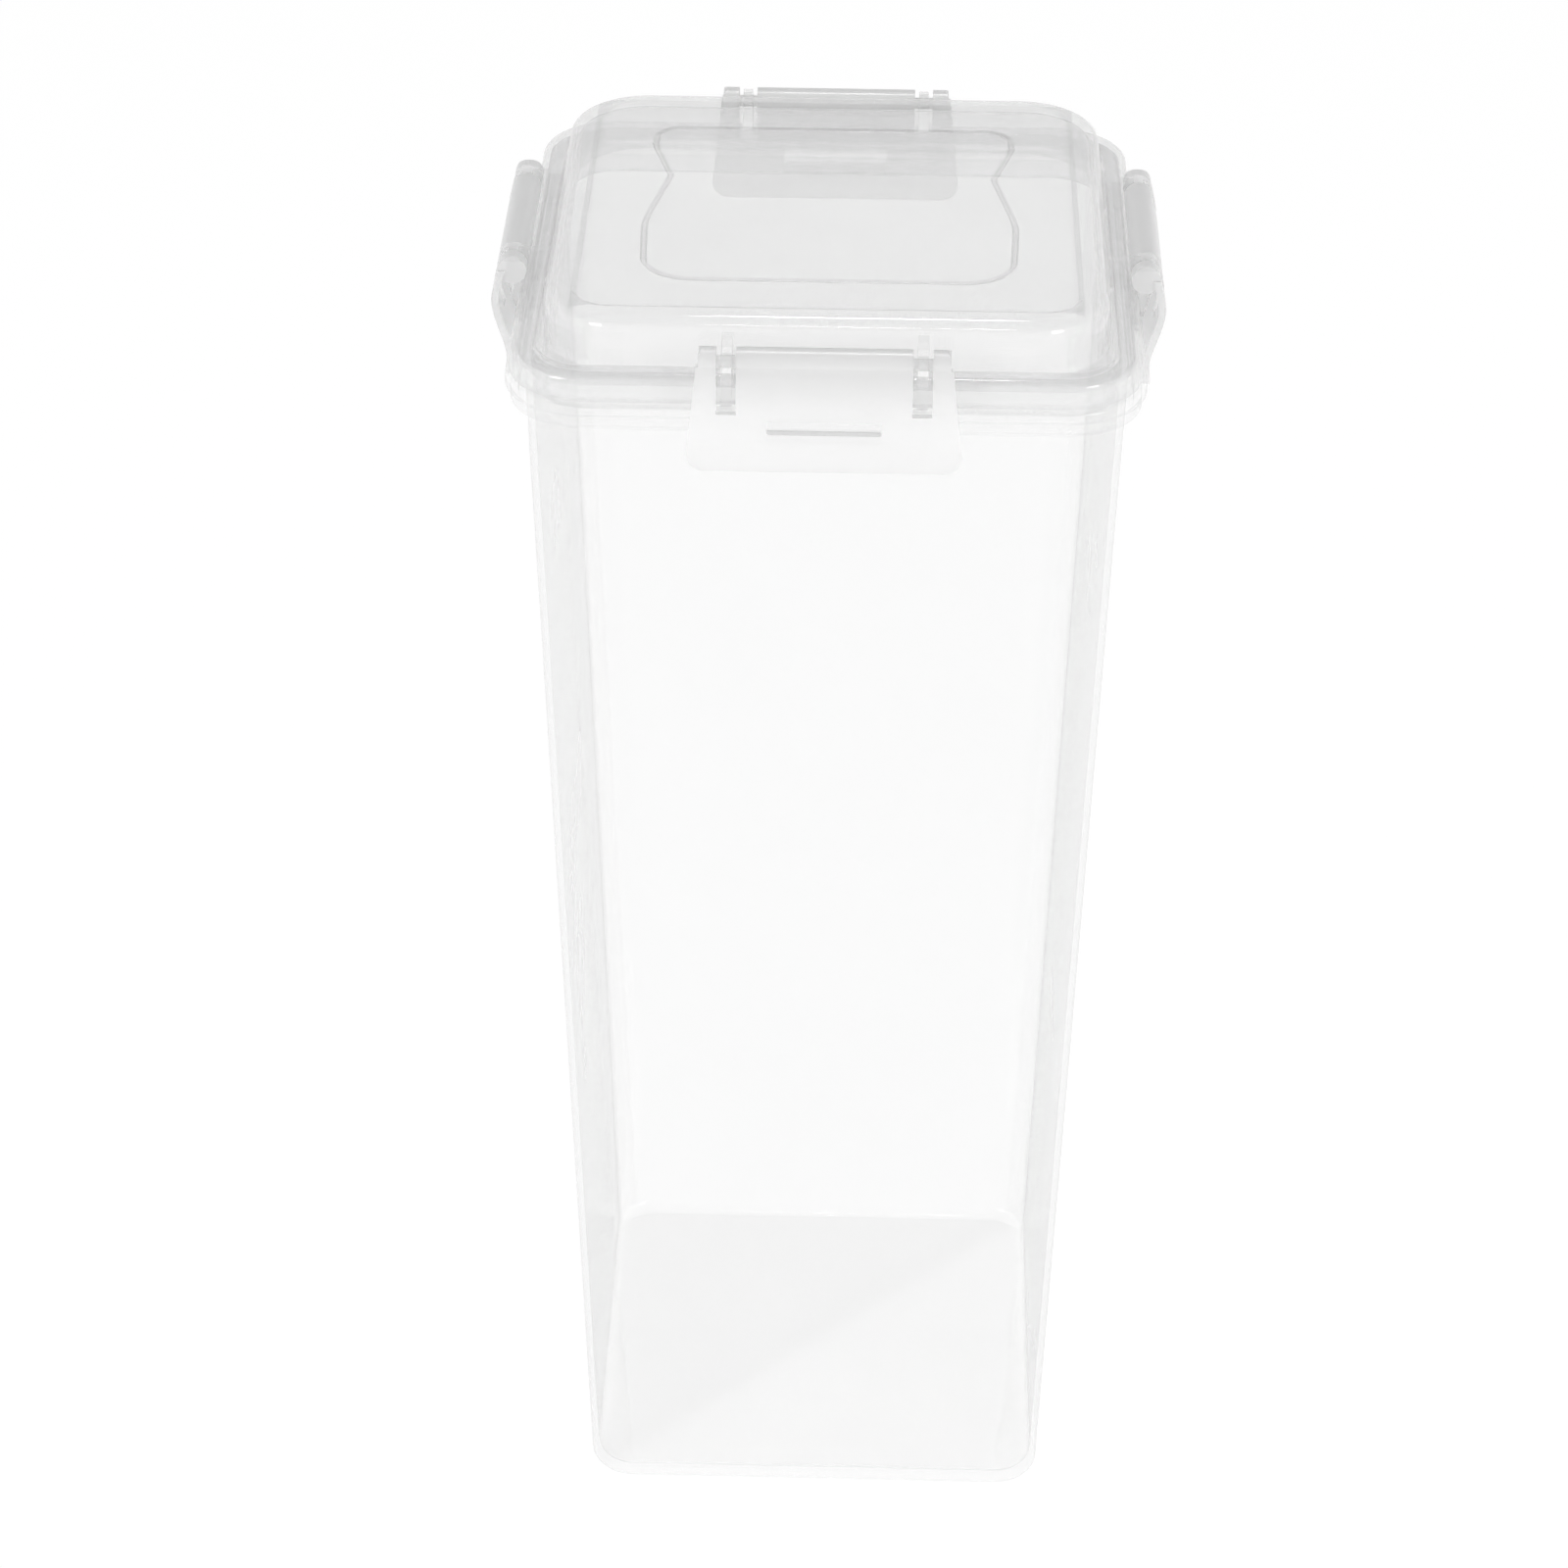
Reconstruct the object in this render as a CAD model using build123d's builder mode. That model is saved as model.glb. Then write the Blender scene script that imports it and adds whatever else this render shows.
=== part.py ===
"""Tall square bread box: a tapered translucent tub, a domed clip-on lid with a seal,
and four flap latches hinged on lugs along the lid's sides.

Millimetres, +Z up. The origin is the centre of the base, where the box stands.
The front is towards -Y. All four sides are alike.
"""

import os

from build123d import *

os.makedirs("parts", exist_ok=True)

# Tub: an open box that widens a little towards its mouth.
base_width = 104.7
mouth_width = 122.2
mouth_z = 291.8
base_corner_radius = 10.0
mouth_corner_radius = 13.0
tub_wall = 1.5
floor_thickness = 2.0
base_edge_radius = 2.5
floor_edge_radius = 3.0
mouth_edge_radius = 0.4

# Flange round the tub below its mouth, with a narrower skirt that the latches hook under.
flange_reach = 3.9
flange_drop = 3.2
flange_band_height = 2.6
flange_web = 1.6
flange_edge_radius = 0.8
skirt_inset = 1.0
skirt_height = 3.1
skirt_wall = 1.6

# Lid: a rim over the tub's mouth, a plug wall inside it, and a dome with a sunk panel.
rim_inset = 1.0
rim_seat_gap = 0.3
rim_skirt_wall = 1.6
rim_roof = 1.5
rim_edge_radius = 1.9
lid_wall = 1.5
plug_gap = 0.6
plug_depth = 4.0
groove_wall = 1.1
groove_width = 0.5
groove_depth = 2.0
dome_height = 11.6
dome_corner_radius = 17.0
dome_edge_radius = 3.5
dome_inner_edge_radius = 2.0
border_width = 5.8
border_slope = 1.1
panel_drop = 0.8
panel_corner_radius = 7.0
plate_thickness = 1.6

# Engraved outline of a waisted shape on the panel, from its top edge down to its foot. Each
# length below the top edge is measured from the one before it.
engraving_width = 1.5
engraving_depth = 0.5
engraving_slope = 40.0
engraving_top_y = 40.1
engraving_shoulder_length = 10.6
engraving_waist_length = 15.3
engraving_belly_length = 23.2
engraving_foot_length = 28.5
engraving_half_top = 39.0
engraving_half_waist = 35.0
engraving_half_belly = 39.4
engraving_half_foot = 38.3
engraving_top_radius = 6.5
engraving_shoulder_radius = 12.0
engraving_waist_radius = 1.6
engraving_belly_radius = 38.0
engraving_foot_radius = 11.0

# Seal: a flat ring that fills the lid's channel down to the mouth.
seal_height = 1.5
seal_side_gap = 0.1

# Latches: a curved flap with a barrel along its top, cut by two slots for the lugs.
latch_top_width = 50.0
latch_bottom_width = 56.0
latch_overhang = 7.4
latch_corner_radius = 3.5
latch_wall = 1.5
latch_bulge = 2.7
latch_lip_flare = 0.2
latch_gap = 0.3
barrel_radius = 3.0
hinge_rise = 4.2
hinge_offset = 0.2
knuckle_half = 17.5
slot_width = 4.0
slot_depth = 10.0
pin_radius = 1.25
pin_clearance = 0.05
lug_thickness = 2.2
lug_head_radius = 2.6
lug_mouth = 2.1
lug_root_depth = 4.0
lug_foot = 1.2
window_width = 23.0
window_height = 3.5
window_corner_radius = 0.6
window_lift = 1.2
hook_reach = 2.7
hook_height = 1.8
hook_gap = 0.3

# Places that follow from the sizes above: heights, and distances from the centre line.
mouth_half = mouth_width / 2
mouth_inner_half = mouth_half - tub_wall
flange_half = mouth_half + flange_reach
flange_top_z = mouth_z - flange_drop
skirt_half = flange_half - skirt_inset
skirt_inner_half = skirt_half - skirt_wall
skirt_top_z = flange_top_z - flange_band_height
skirt_bottom_z = skirt_top_z - skirt_height
rim_half = flange_half - rim_inset
rim_bottom_z = flange_top_z + rim_seat_gap
channel_half = rim_half - rim_skirt_wall
channel_top_z = mouth_z + seal_height
rim_top_z = channel_top_z + rim_roof
plug_half = mouth_inner_half - plug_gap
plug_inner_half = plug_half - lid_wall
plug_bottom_z = rim_bottom_z - plug_depth
groove_half = plug_half - groove_wall
groove_floor_z = rim_top_z - groove_depth
web_bottom_z = groove_floor_z - lid_wall
dome_half = groove_half - groove_width
dome_top_z = groove_floor_z + dome_height
panel_half = dome_half - border_width - border_slope
panel_z = dome_top_z - panel_drop
ceiling_z = panel_z - plate_thickness
hinge_z = rim_top_z + hinge_rise
hinge_out = flange_half + hinge_offset
latch_inner = flange_half + latch_gap
latch_bottom_z = skirt_bottom_z - latch_overhang
slot_bottom_z = hinge_z - slot_depth
lug_centre = knuckle_half + slot_width / 2
hook_top_z = skirt_bottom_z - hook_gap
window_bottom_z = hook_top_z + window_lift
engraving_shoulder_y = engraving_top_y - engraving_shoulder_length
engraving_waist_y = engraving_shoulder_y - engraving_waist_length
engraving_belly_y = engraving_waist_y - engraving_belly_length
engraving_foot_y = engraving_belly_y - engraving_foot_length


def tub_half(z):
    """Half the tub's outer width at a height."""
    return (base_width + (mouth_width - base_width) * z / mouth_z) / 2


def tub_corner(z):
    """The tub's outer corner radius at a height."""
    return base_corner_radius + (mouth_corner_radius - base_corner_radius) * z / mouth_z


def ring_corner(half):
    """Corner radius of a square ring that runs parallel to the tub's mouth."""
    return mouth_corner_radius + half - mouth_half


def rounded_square(half, radius, mode=Mode.ADD):
    """A square outline about the origin, given by half its width."""
    return RectangleRounded(2 * half, 2 * half, radius, mode=mode)


def ring(outer_half, inner_half):
    """A square band between two outlines parallel to the tub's mouth."""
    rounded_square(outer_half, ring_corner(outer_half))
    rounded_square(inner_half, ring_corner(inner_half), mode=Mode.SUBTRACT)


# Each side of the box by name, with the direction that it faces in degrees.
sides = {"front": -90, "right": 0, "rear": 90, "left": 180}


def section_plane(facing):
    """Upright plane across a side: local X points out of the box, local Y up."""
    out = Vector(1, 0, 0).rotate(Axis.Z, facing)
    along = Vector(0, 1, 0).rotate(Axis.Z, facing)
    return Plane(origin=(0, 0, 0), x_dir=out, z_dir=along * -1)


def face_plane(facing):
    """Upright plane along a side, through the origin: local Y is up, the normal points out."""
    out = Vector(1, 0, 0).rotate(Axis.Z, facing)
    along = Vector(0, 1, 0).rotate(Axis.Z, facing)
    return Plane(origin=(0, 0, 0), x_dir=along, z_dir=out)


lug_planes = [
    section_plane(facing).offset(side_of_centre * lug_centre)
    for facing in sides.values()
    for side_of_centre in (-1, 1)
]


# Tub
with BuildPart() as container_body:
    with BuildSketch():
        rounded_square(base_width / 2, base_corner_radius)
    with BuildSketch(Plane.XY.offset(mouth_z)):
        rounded_square(mouth_half, mouth_corner_radius)
    loft()
    fillet(container_body.faces().sort_by(Axis.Z)[0].edges(), base_edge_radius)

    floor_half = tub_half(floor_thickness) - tub_wall
    with BuildSketch(Plane.XY.offset(floor_thickness)):
        rounded_square(floor_half, tub_corner(floor_thickness) - tub_wall)
    with BuildSketch(Plane.XY.offset(mouth_z)):
        rounded_square(mouth_inner_half, mouth_corner_radius - tub_wall)
    loft(mode=Mode.SUBTRACT)
    floor_face = container_body.faces().filter_by(Axis.Z).sort_by(Axis.Z)[1]
    fillet(floor_face.edges(), floor_edge_radius)
    mouth_face = container_body.faces().filter_by(Axis.Z).sort_by(Axis.Z)[-1]
    fillet(mouth_face.edges(), mouth_edge_radius)

    # The flange's web starts inside the wall, so that it joins the wall all round.
    with BuildSketch(Plane.XY.offset(flange_top_z)):
        ring(flange_half, mouth_half - tub_wall / 2)
    extrude(amount=-flange_web)
    with BuildSketch(Plane.XY.offset(flange_top_z)):
        ring(flange_half, skirt_inner_half)
    extrude(amount=-flange_band_height)
    flange_top_edges = container_body.edges().filter_by_position(
        Axis.Z, flange_top_z - 0.01, flange_top_z + 0.01
    )
    outer_edges = flange_top_edges.filter_by(
        lambda edge: max(abs(edge.center().X), abs(edge.center().Y)) > rim_half - rim_inset
    )
    fillet(outer_edges, flange_edge_radius)
    with BuildSketch(Plane.XY.offset(skirt_top_z)):
        ring(skirt_half, skirt_inner_half)
    extrude(amount=-skirt_height)

container_body.part.label = "container_body"
export_step(container_body.part, "parts/container_body.step")


# Lid
with BuildPart() as lid:
    with BuildSketch(Plane.XY.offset(rim_bottom_z)):
        ring(rim_half, groove_half)
    extrude(amount=rim_top_z - rim_bottom_z)
    top_face = lid.faces().filter_by(Axis.Z).sort_by(Axis.Z)[-1]
    fillet(top_face.edges(), rim_edge_radius)

    # The web under the groove and the plug wall below it, with the dome above.
    with BuildSketch(Plane.XY.offset(plug_bottom_z)):
        rounded_square(plug_half, ring_corner(plug_half))
    extrude(amount=groove_floor_z - plug_bottom_z)
    with BuildSketch(Plane.XY.offset(web_bottom_z)):
        rounded_square(dome_half, dome_corner_radius)
    extrude(amount=dome_top_z - web_bottom_z)
    plate_face = lid.faces().filter_by(Axis.Z).sort_by(Axis.Z)[-1]
    fillet(plate_face.edges(), dome_edge_radius)

    # Sunk panel with sloping sides, inside the dome's raised border.
    with BuildSketch(Plane.XY.offset(panel_z)):
        rounded_square(panel_half, panel_corner_radius)
    with BuildSketch(Plane.XY.offset(dome_top_z)):
        rounded_square(panel_half + border_slope, panel_corner_radius + border_slope)
    loft(mode=Mode.SUBTRACT)

    # Lugs: each runs from inside the dome over the rim, round the pin and down.
    with BuildSketch(*lug_planes):
        with BuildLine():
            head = CenterArc((hinge_out, hinge_z), lug_head_radius, -15, 105)
            crest = Line(head @ 1, (dome_half - lug_root_depth, hinge_z + lug_head_radius))
            root = Line(crest @ 1, (dome_half - lug_root_depth, web_bottom_z))
            sill = Polyline(
                root @ 1,
                (channel_half, web_bottom_z),
                (channel_half, rim_bottom_z),
                (rim_half + lug_foot, rim_bottom_z),
            )
            Line(sill @ 1, head @ 0)
        make_face()
    extrude(amount=lug_thickness / 2, both=True)

    # Channel for the seal and the tub's mouth.
    with BuildSketch(Plane.XY.offset(channel_top_z)):
        ring(channel_half, plug_half)
    extrude(amount=-(channel_top_z - plug_bottom_z), mode=Mode.SUBTRACT)

    # Hollow inside the plug wall and under the dome.
    with BuildSketch(Plane.XY.offset(plug_bottom_z)):
        rounded_square(plug_inner_half, ring_corner(plug_inner_half))
    extrude(amount=web_bottom_z - plug_bottom_z, mode=Mode.SUBTRACT)
    with BuildSketch(Plane.XY.offset(web_bottom_z)):
        rounded_square(dome_half - lid_wall, dome_corner_radius - lid_wall)
    extrude(amount=ceiling_z - web_bottom_z, mode=Mode.SUBTRACT)
    ceiling_edges = lid.edges().filter_by_position(Axis.Z, ceiling_z - 0.01, ceiling_z + 0.01)
    fillet(ceiling_edges, dome_inner_edge_radius)

    # Pin holes through the lugs, each with a narrower mouth that the pin snaps in through.
    with BuildSketch(*lug_planes):
        with Locations((hinge_out, hinge_z)):
            Circle(pin_radius + pin_clearance)
        with Locations((hinge_out, hinge_z + lug_head_radius)):
            Rectangle(lug_mouth, 2 * lug_head_radius)
    extrude(amount=lug_thickness, both=True, mode=Mode.SUBTRACT)

    # Engraved outline on the panel, with sloping sides.
    right_side = [
        (engraving_half_top, engraving_top_y),
        (engraving_half_top, engraving_shoulder_y),
        (engraving_half_waist, engraving_waist_y),
        (engraving_half_belly, engraving_belly_y),
        (engraving_half_foot, engraving_foot_y),
    ]
    right_radii = [
        engraving_top_radius,
        engraving_shoulder_radius,
        engraving_waist_radius,
        engraving_belly_radius,
        engraving_foot_radius,
    ]
    left_side = [(-x, y) for x, y in reversed(right_side)]
    left_radii = reversed(right_radii)
    with BuildSketch(Plane.XY.offset(panel_z)):
        with BuildLine():
            FilletPolyline(*right_side, *left_side, radius=[*right_radii, *left_radii], close=True)
        make_face()
        offset(amount=-engraving_width, mode=Mode.SUBTRACT)
    extrude(amount=-engraving_depth, taper=engraving_slope, mode=Mode.SUBTRACT)

lid.part.label = "lid"
export_step(lid.part, "parts/lid.step")


# Seal
with BuildPart() as seal_ring:
    with BuildSketch(Plane.XY.offset(mouth_z)):
        ring(channel_half - seal_side_gap, plug_half + seal_side_gap)
    extrude(amount=seal_height)

seal_ring.part.label = "seal_ring"
export_step(seal_ring.part, "parts/seal_ring.step")


# Latches
def make_latch(facing):
    """One latch in its closed place on the side that faces the given way."""
    section = section_plane(facing)
    front = face_plane(facing)
    outer_top = hinge_out + barrel_radius
    lip_z = latch_bottom_z
    neck_z = hook_top_z
    with BuildPart() as latch:
        # Flap: a curved sheet that hangs from the barrel and turns out at its lip.
        with BuildSketch(section):
            with BuildLine():
                outer = Spline(
                    (outer_top, hinge_z),
                    (latch_inner + latch_wall + latch_bulge, hinge_z - 6),
                    (latch_inner + latch_wall, neck_z),
                    (latch_inner + latch_wall + latch_lip_flare, lip_z),
                    tangents=((0.2, -1), (0.1, -1)),
                )
                lip = Line(outer @ 1, (latch_inner + latch_lip_flare, lip_z))
                inner = Spline(
                    lip @ 1,
                    (latch_inner, neck_z),
                    (latch_inner + latch_bulge, hinge_z - 6.5),
                    (outer_top - latch_wall, hinge_z),
                    tangents=((-0.1, 1), (-0.2, 1)),
                )
                Line(inner @ 1, outer @ 0)
            make_face()
        extrude(amount=latch_bottom_width / 2, both=True)
        with BuildSketch(section):
            with Locations((hinge_out, hinge_z)):
                Circle(barrel_radius)
        extrude(amount=latch_top_width / 2, both=True)

        # The flap widens from the barrel down to its rounded lower corners.
        outline_top_z = hinge_z + barrel_radius
        with BuildSketch(front) as outline:
            with BuildLine():
                Polyline(
                    (-latch_top_width / 2, outline_top_z + 1),
                    (-latch_bottom_width / 2, lip_z),
                    (latch_bottom_width / 2, lip_z),
                    (latch_top_width / 2, outline_top_z + 1),
                    close=True,
                )
            make_face()
            fillet(outline.vertices().group_by(Axis.Z)[0], latch_corner_radius)
        extrude(amount=2 * outer_top, mode=Mode.INTERSECT)

        slot_height = outline_top_z - slot_bottom_z + 1
        with BuildSketch(front):
            with Locations(
                (-lug_centre, slot_bottom_z + slot_height / 2),
                (lug_centre, slot_bottom_z + slot_height / 2),
            ):
                Rectangle(slot_width, slot_height)
        extrude(amount=2 * outer_top, mode=Mode.SUBTRACT)

        # Pins across the slots, rooted in the knuckles on both sides.
        with BuildSketch(section):
            with Locations((hinge_out, hinge_z)):
                Circle(pin_radius)
        extrude(amount=lug_centre + slot_width, both=True)

        with BuildSketch(front):
            with Locations((0, window_bottom_z + window_height / 2)):
                RectangleRounded(window_width, window_height, window_corner_radius)
        extrude(amount=2 * outer_top, mode=Mode.SUBTRACT)

        # Hook rib under the window, with a sloped lower face that rides over the flange.
        with BuildSketch(section):
            with BuildLine():
                Polyline(
                    (latch_inner + latch_wall / 2, hook_top_z),
                    (latch_inner - hook_reach, hook_top_z),
                    (latch_inner - hook_reach, hook_top_z - hook_height / 2),
                    (latch_inner + latch_wall / 2, hook_top_z - hook_height),
                    close=True,
                )
            make_face()
        extrude(amount=window_width / 2, both=True)
    return latch


for name, facing in sides.items():
    latch = make_latch(facing)
    latch.part.label = f"latch_{name}"
    export_step(latch.part, f"parts/latch_{name}.step")
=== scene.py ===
"""Looks for the square bread box: materials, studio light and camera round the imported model."""

import math

import bpy
from mathutils import Matrix, Vector


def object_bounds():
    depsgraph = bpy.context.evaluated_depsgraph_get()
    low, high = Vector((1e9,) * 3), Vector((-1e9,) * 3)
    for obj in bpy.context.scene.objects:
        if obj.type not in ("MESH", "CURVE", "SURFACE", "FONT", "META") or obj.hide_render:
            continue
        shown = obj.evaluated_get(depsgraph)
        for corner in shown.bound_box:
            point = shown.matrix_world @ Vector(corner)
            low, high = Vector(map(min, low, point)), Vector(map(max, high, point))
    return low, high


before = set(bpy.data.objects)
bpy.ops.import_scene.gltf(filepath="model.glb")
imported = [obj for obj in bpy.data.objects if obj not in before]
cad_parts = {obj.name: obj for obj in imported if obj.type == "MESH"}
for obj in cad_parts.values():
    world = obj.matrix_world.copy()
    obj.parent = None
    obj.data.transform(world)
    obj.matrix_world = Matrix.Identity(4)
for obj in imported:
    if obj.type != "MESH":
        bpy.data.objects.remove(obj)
cad_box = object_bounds()
scene = bpy.context.scene

# Camera: a long lens from above and in front, turned a little about the box.
PHOTO_SIZE = 1600
SENSOR_WIDTH = 36.0
FOCAL_PIXELS = 4552.0
CAMERA_PITCH = math.radians(31.73)
CAMERA_YAW = math.radians(-1.37)
CAMERA_ROLL = math.radians(0.36)
CAMERA_DISTANCE = 1.010
CAMERA_TARGET = Vector((-0.0091, 0.0, 0.1608))

# Studio: a bright floor, a light band round the horizon, a darker room above it, and lamps.
FLOOR_SIZE = 40.0
FLOOR_GAP = 0.0002
FLOOR_GLOW = 0.96
FLOOR_COLOUR = 0.08
ROOM_DIFFUSE = 0.30
ROOM_ABOVE = 0.40
HORIZON_TOP = 0.30
ROOM_FROM = 0.62
LAMPS = {
    "left_softbox": ((-0.95, -1.1, 0.70), (0.45, 0.45), 6.6),
    "right_softbox": ((0.95, -1.1, 0.70), (0.45, 0.45), 6.6),
    "rear_lamp": ((0.0, 0.28, 1.4), (0.14, 0.14), 2.0),
}
AIM = (0.0, 0.0, 0.25)

# Plastic: how it bends light, the grain of its clouds and of its fine unevenness, how much its
# haze varies, and the least slant that thickens the haze.
PLASTIC_IOR = 1.49
CLOUD_SCALE = 26
CLOUD_DETAIL = 5
BUMP_SCALE = 350
BUMP_DETAIL = 3
BUMP_HEIGHT = 0.0003
HAZE_VARIATION = 0.1
LEAST_SLANT = 0.12

# Heights on the latches between which painted shade grows towards the barrel: a greyer plastic that
# stands partly for the barrel's thicker walls and partly for the shade in and round the barrel.
BARREL_SHADE_FROM = 0.296
BARREL_SHADE_TO = 0.301

# The lid's sunk panel: its level, its reach with the sloping border, a height between it and the
# ceiling below, and how far from its level a face still counts as flat.
# These place the painted shade: a darker grey in the engraved outline and on the panel's sloping
# border.
PANEL_LEVEL = 0.3036
PANEL_REACH = 0.0517
PANEL_LOWEST = 0.3028
PANEL_FLAT = 0.00004

# Heights and distances from the axis between which the lid is the dome's upright side, which gets a
# painted shade.
SIDE_FROM = 0.2935
SIDE_TO = 0.3030
SIDE_INNER = 0.0500
SIDE_OUTER = 0.0578

# Light bounces, enough to pass through every wall of the box.
BOUNCES = 24
CLEAR_BOUNCES = 40


def add_camera():
    """Places the camera on its pitch and yaw round the target, level but for a slight roll."""
    forward = Vector((0, math.cos(CAMERA_PITCH), -math.sin(CAMERA_PITCH)))
    up = Vector((0, math.sin(CAMERA_PITCH), math.cos(CAMERA_PITCH)))
    right = Vector((1, 0, 0))
    rolled_right = right * math.cos(CAMERA_ROLL) + up * math.sin(CAMERA_ROLL)
    rolled_up = up * math.cos(CAMERA_ROLL) - right * math.sin(CAMERA_ROLL)
    place = CAMERA_TARGET - forward * CAMERA_DISTANCE
    columns = Matrix((rolled_right, rolled_up, -forward)).transposed()
    turn = Matrix.Rotation(-CAMERA_YAW, 4, "Z")
    data = bpy.data.cameras.new("camera")
    data.sensor_width = SENSOR_WIDTH
    data.lens = FOCAL_PIXELS / PHOTO_SIZE * SENSOR_WIDTH
    data.clip_start = 0.01
    camera = bpy.data.objects.new("camera", data)
    camera.matrix_world = turn @ (Matrix.Translation(place) @ columns.to_4x4())
    scene.collection.objects.link(camera)
    scene.camera = camera


def area_light(name, place, aim, size, watts):
    """A soft lamp of a width and height at place, pointing at aim and unseen by the camera."""
    data = bpy.data.lights.new(name, "AREA")
    data.shape = "RECTANGLE"
    data.size, data.size_y = size
    data.energy = watts
    light = bpy.data.objects.new(name, data)
    light.location = place
    light.rotation_euler = (Vector(aim) - Vector(place)).to_track_quat("-Z", "Y").to_euler()
    light.visible_camera = False
    scene.collection.objects.link(light)


def grey(level):
    """A neutral colour."""
    return (level, level, level, 1)


def number(nodes, links, kind, first, second=0.0):
    """A Math node on two inputs, each a number or a socket."""
    node = nodes.new("ShaderNodeMath")
    node.operation = kind
    for socket, value in zip(node.inputs, (first, second)):
        if isinstance(value, (int, float)):
            socket.default_value = value
        else:
            links.new(value, socket)
    return node.outputs[0]


def add_world():
    """White behind the box, a plain even light on it, and a darker room above the horizon."""
    world = bpy.data.worlds.new("studio")
    world.use_nodes = True
    nodes, links = world.node_tree.nodes, world.node_tree.links
    background = nodes["Background"]
    background.inputs["Color"].default_value = grey(1)

    path = nodes.new("ShaderNodeLightPath")
    direction = nodes.new("ShaderNodeTexCoord")
    parts = nodes.new("ShaderNodeSeparateXYZ")
    links.new(direction.outputs["Generated"], parts.inputs[0])
    room = nodes.new("ShaderNodeMapRange")
    room.interpolation_type = "SMOOTHSTEP"
    room.inputs["From Min"].default_value = HORIZON_TOP
    room.inputs["From Max"].default_value = ROOM_FROM
    room.inputs["To Min"].default_value = 1.0
    room.inputs["To Max"].default_value = ROOM_ABOVE
    links.new(parts.outputs["Z"], room.inputs["Value"])

    lighting = nodes.new("ShaderNodeMix")
    lighting.inputs["B"].default_value = ROOM_DIFFUSE
    links.new(path.outputs["Is Diffuse Ray"], lighting.inputs["Factor"])
    links.new(room.outputs[0], lighting.inputs["A"])
    strength = nodes.new("ShaderNodeMix")
    strength.inputs["B"].default_value = 1.0
    links.new(path.outputs["Is Camera Ray"], strength.inputs["Factor"])
    links.new(lighting.outputs["Result"], strength.inputs["A"])
    links.new(strength.outputs["Result"], background.inputs["Strength"])
    scene.world = world


def add_floor():
    """A bright floor that shows white and keeps the box's faint shadow."""
    mesh = bpy.data.meshes.new("floor")
    half = FLOOR_SIZE / 2
    corners = [(-half, -half, 0), (half, -half, 0), (half, half, 0), (-half, half, 0)]
    mesh.from_pydata(corners, [], [(0, 1, 2, 3)])
    floor = bpy.data.objects.new("floor", mesh)
    floor.location.z = cad_box[0][2] - FLOOR_GAP
    scene.collection.objects.link(floor)
    material = bpy.data.materials.new("floor")
    material.use_nodes = True
    shader = material.node_tree.nodes["Principled BSDF"]
    shader.inputs["Base Color"].default_value = grey(FLOOR_COLOUR)
    shader.inputs["Roughness"].default_value = 0.9
    shader.inputs["Specular IOR Level"].default_value = 0.0
    shader.inputs["Emission Color"].default_value = grey(1)
    shader.inputs["Emission Strength"].default_value = FLOOR_GLOW
    mesh.materials.append(material)


def mixed(nodes, links, factor, first, second):
    """A Mix Shader of two shaders; factor is a number or a socket."""
    node = nodes.new("ShaderNodeMixShader")
    if isinstance(factor, (int, float)):
        node.inputs[0].default_value = factor
    else:
        links.new(factor, node.inputs[0])
    links.new(first, node.inputs[1])
    links.new(second, node.inputs[2])
    return node.outputs[0]


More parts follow.
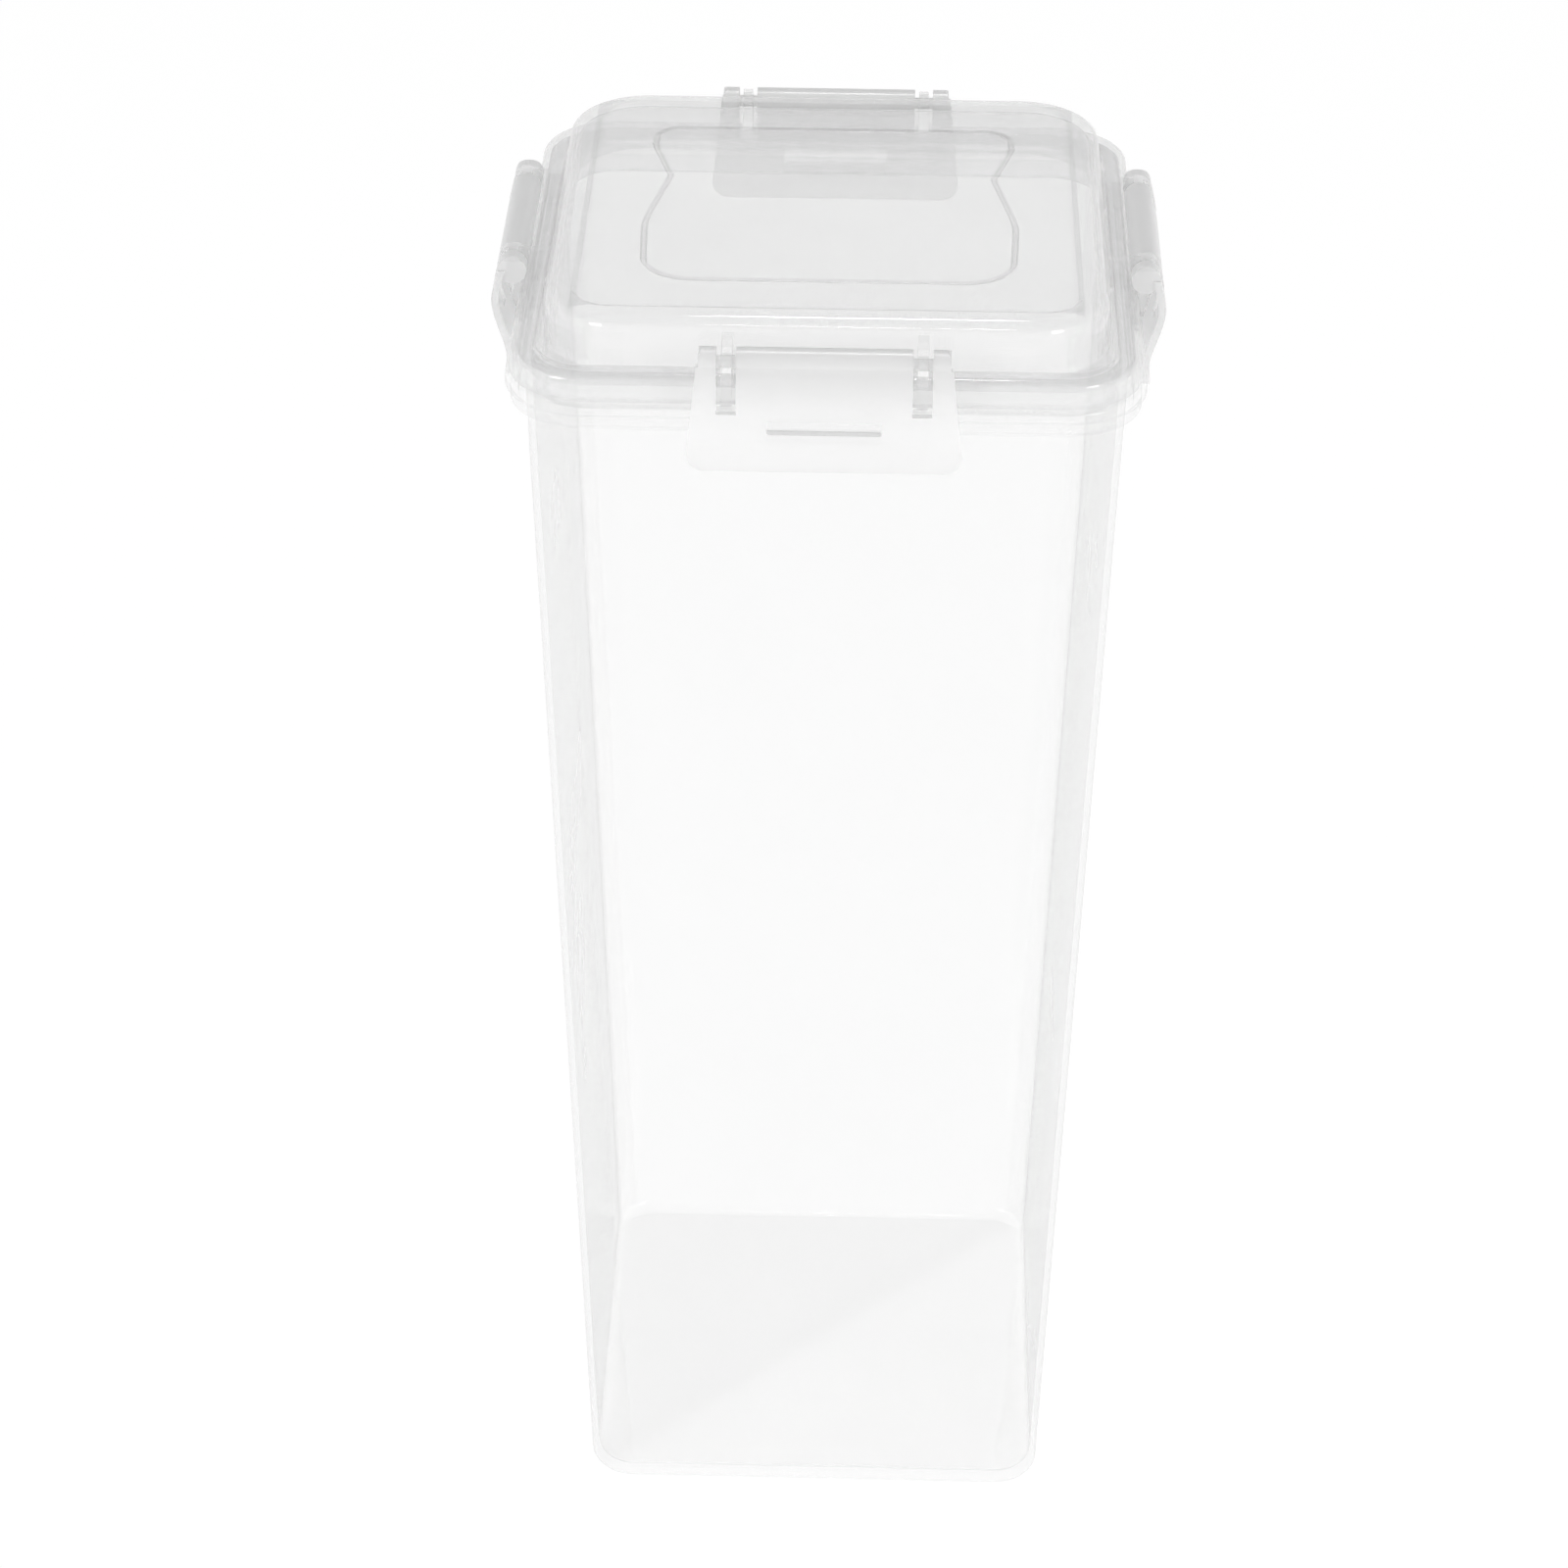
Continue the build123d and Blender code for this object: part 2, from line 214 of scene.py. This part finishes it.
def plastic(name, pale, dense, haze, spread, glass, roughness, bumps):
    """Moulded polypropylene: a haze that thickens where the wall is seen aslant, over clear glass.

    pale and dense are the greys that its clouds run between, haze the optical depth of one face
    seen straight on, spread the share of the haze's light that comes through from behind, glass
    the share of clear light that bends on its way through, and bumps the strength of the
    moulded surface's fine unevenness.
    """
    material = bpy.data.materials.new(name)
    material.use_nodes = True
    nodes, links = material.node_tree.nodes, material.node_tree.links
    milk = nodes["Principled BSDF"]

    place = nodes.new("ShaderNodeTexCoord")
    cloud = nodes.new("ShaderNodeTexNoise")
    cloud.inputs["Scale"].default_value = CLOUD_SCALE
    cloud.inputs["Detail"].default_value = CLOUD_DETAIL
    links.new(place.outputs["Object"], cloud.inputs["Vector"])
    peel = nodes.new("ShaderNodeTexNoise")
    peel.inputs["Scale"].default_value = BUMP_SCALE
    peel.inputs["Detail"].default_value = BUMP_DETAIL
    links.new(place.outputs["Object"], peel.inputs["Vector"])
    bump = nodes.new("ShaderNodeBump")
    bump.inputs["Strength"].default_value = bumps
    bump.inputs["Distance"].default_value = BUMP_HEIGHT
    links.new(peel.outputs["Fac"], bump.inputs["Height"])

    tone = nodes.new("ShaderNodeMix")
    tone.data_type = "RGBA"
    tone.inputs["A"].default_value = grey(pale)
    tone.inputs["B"].default_value = grey(dense)
    links.new(cloud.outputs["Fac"], tone.inputs["Factor"])
    links.new(tone.outputs["Result"], milk.inputs["Base Color"])
    milk.inputs["Roughness"].default_value = roughness * 2
    milk.inputs["IOR"].default_value = PLASTIC_IOR
    links.new(bump.outputs["Normal"], milk.inputs["Normal"])

    lit_behind = nodes.new("ShaderNodeBsdfTranslucent")
    links.new(tone.outputs["Result"], lit_behind.inputs["Color"])
    fog = mixed(nodes, links, spread, milk.outputs[0], lit_behind.outputs[0])

    bent = nodes.new("ShaderNodeBsdfPrincipled")
    links.new(tone.outputs["Result"], bent.inputs["Base Color"])
    bent.inputs["Transmission Weight"].default_value = 1.0
    bent.inputs["Roughness"].default_value = roughness / 2
    bent.inputs["IOR"].default_value = PLASTIC_IOR
    links.new(bump.outputs["Normal"], bent.inputs["Normal"])

    straight = nodes.new("ShaderNodeBsdfTransparent")
    links.new(tone.outputs["Result"], straight.inputs["Color"])
    sheen = nodes.new("ShaderNodeBsdfGlossy")
    sheen.inputs["Roughness"].default_value = roughness
    links.new(bump.outputs["Normal"], sheen.inputs["Normal"])
    gloss = nodes.new("ShaderNodeFresnel")
    gloss.inputs["IOR"].default_value = PLASTIC_IOR
    side = nodes.new("ShaderNodeNewGeometry")
    outside = number(nodes, links, "SUBTRACT", 1.0, side.outputs["Backfacing"])
    shine = number(nodes, links, "MULTIPLY", gloss.outputs[0], outside)
    glazed = mixed(nodes, links, shine, straight.outputs[0], sheen.outputs[0])
    clear = mixed(nodes, links, glass, glazed, bent.outputs[0])

    facing = nodes.new("ShaderNodeLayerWeight")
    facing.inputs["Blend"].default_value = 0.5
    cosine = number(nodes, links, "SUBTRACT", 1.0, facing.outputs["Facing"])
    slant = number(nodes, links, "MAXIMUM", cosine, LEAST_SLANT)
    patchy = nodes.new("ShaderNodeMapRange")
    patchy.inputs["To Min"].default_value = -haze * (1 - HAZE_VARIATION)
    patchy.inputs["To Max"].default_value = -haze * (1 + HAZE_VARIATION)
    links.new(cloud.outputs["Fac"], patchy.inputs["Value"])
    depth = number(nodes, links, "DIVIDE", patchy.outputs[0], slant)
    passed = number(nodes, links, "EXPONENT", depth)
    shown = mixed(nodes, links, passed, fog, clear)
    links.new(shown, nodes["Material Output"].inputs[0])
    return material


def shade(material, level, mask):
    """Paints shade into a plastic: turns it to another grey where mask, a function of the place,
    says so.
    """
    nodes, links = material.node_tree.nodes, material.node_tree.links
    tone = nodes["Principled BSDF"].inputs["Base Color"].links[0].from_node
    users = [link.to_socket for link in tone.outputs["Result"].links]
    place = nodes.new("ShaderNodeTexCoord")
    parts = nodes.new("ShaderNodeSeparateXYZ")
    links.new(place.outputs["Object"], parts.inputs[0])
    painted_grey = nodes.new("ShaderNodeMix")
    painted_grey.data_type = "RGBA"
    painted_grey.inputs["B"].default_value = grey(level)
    links.new(mask(nodes, links, parts), painted_grey.inputs["Factor"])
    links.new(tone.outputs["Result"], painted_grey.inputs["A"])
    for user in users:
        links.new(painted_grey.outputs["Result"], user)


def barrel_shade_mask(nodes, links, parts):
    """Painted shade on a latch: grows from nothing on its flap to full on its thick barrel, partly
    for the thicker plastic there and partly for the shade round the barrel.
    """
    height = nodes.new("ShaderNodeMapRange")
    height.interpolation_type = "SMOOTHSTEP"
    height.inputs["From Min"].default_value = BARREL_SHADE_FROM
    height.inputs["From Max"].default_value = BARREL_SHADE_TO
    links.new(parts.outputs["Z"], height.inputs["Value"])
    return height.outputs[0]


def reach_of(nodes, links, parts):
    """How far a place is from the box's axis, measured square to the nearest side."""
    across = number(nodes, links, "ABSOLUTE", parts.outputs["X"])
    along = number(nodes, links, "ABSOLUTE", parts.outputs["Y"])
    return number(nodes, links, "MAXIMUM", across, along)


def dome_side_shade_mask(nodes, links, parts):
    """Is 1 on the upright side of the lid's dome, which gets a painted shade, and 0 elsewhere."""
    reach = reach_of(nodes, links, parts)
    past = number(nodes, links, "GREATER_THAN", reach, SIDE_INNER)
    short = number(nodes, links, "LESS_THAN", reach, SIDE_OUTER)
    above = number(nodes, links, "GREATER_THAN", parts.outputs["Z"], SIDE_FROM)
    below = number(nodes, links, "LESS_THAN", parts.outputs["Z"], SIDE_TO)
    in_plan = number(nodes, links, "MULTIPLY", past, short)
    in_height = number(nodes, links, "MULTIPLY", above, below)
    return number(nodes, links, "MULTIPLY", in_plan, in_height)


def groove_shade_mask(nodes, links, parts):
    """Is 1 on the engraved outline and on the sloping border of the lid's panel, which get painted
    shade, and 0 elsewhere.
    """
    reach = reach_of(nodes, links, parts)
    within = number(nodes, links, "LESS_THAN", reach, PANEL_REACH)
    on_top = number(nodes, links, "GREATER_THAN", parts.outputs["Z"], PANEL_LOWEST)
    offset = number(nodes, links, "SUBTRACT", parts.outputs["Z"], PANEL_LEVEL)
    distance = number(nodes, links, "ABSOLUTE", offset)
    aslant = number(nodes, links, "GREATER_THAN", distance, PANEL_FLAT)
    on_panel = number(nodes, links, "MULTIPLY", within, on_top)
    return number(nodes, links, "MULTIPLY", on_panel, aslant)


def paint(node, material):
    """Gives a CAD node its material."""
    mesh_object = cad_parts[node]
    for material_slot in mesh_object.material_slots:
        material_slot.material = material


clear = plastic(
    "clear_plastic",
    pale=0.998,
    dense=0.992,
    haze=0.035,
    spread=0.8,
    glass=0.05,
    roughness=0.06,
    bumps=0.002,
)
hazy = plastic(
    "hazy_plastic",
    pale=0.978,
    dense=0.965,
    haze=0.10,
    spread=0.15,
    glass=0.10,
    roughness=0.08,
    bumps=0.005,
)
milky = plastic(
    "milky_plastic",
    pale=0.99,
    dense=0.97,
    haze=0.80,
    spread=0.30,
    glass=0.1,
    roughness=0.15,
    bumps=0.02,
)
silicone = plastic(
    "silicone",
    pale=0.98,
    dense=0.95,
    haze=0.10,
    spread=0.4,
    glass=0.05,
    roughness=0.25,
    bumps=0.05,
)
# Painted shade: the latches turn greyer towards their barrels.
shade(milky, 0.96, barrel_shade_mask)
# Painted shade: dark lines in the lid's engraved outline and on its panel's sloping border.
shade(hazy, 0.85, groove_shade_mask)
# Painted shade: the dome's upright sides a little darker than its top.
shade(hazy, 0.945, dome_side_shade_mask)

paint("container_body", clear)
paint("lid", hazy)
paint("seal_ring", silicone)
for side in ("front", "rear", "left", "right"):
    paint(f"latch_{side}", milky)

add_camera()
add_world()
add_floor()
for name, (place, size, watts) in LAMPS.items():
    area_light(name, place, AIM, size, watts)
scene.view_settings.view_transform = "Standard"
scene.cycles.transparent_max_bounces = CLEAR_BOUNCES
scene.cycles.max_bounces = BOUNCES
scene.cycles.transmission_bounces = BOUNCES
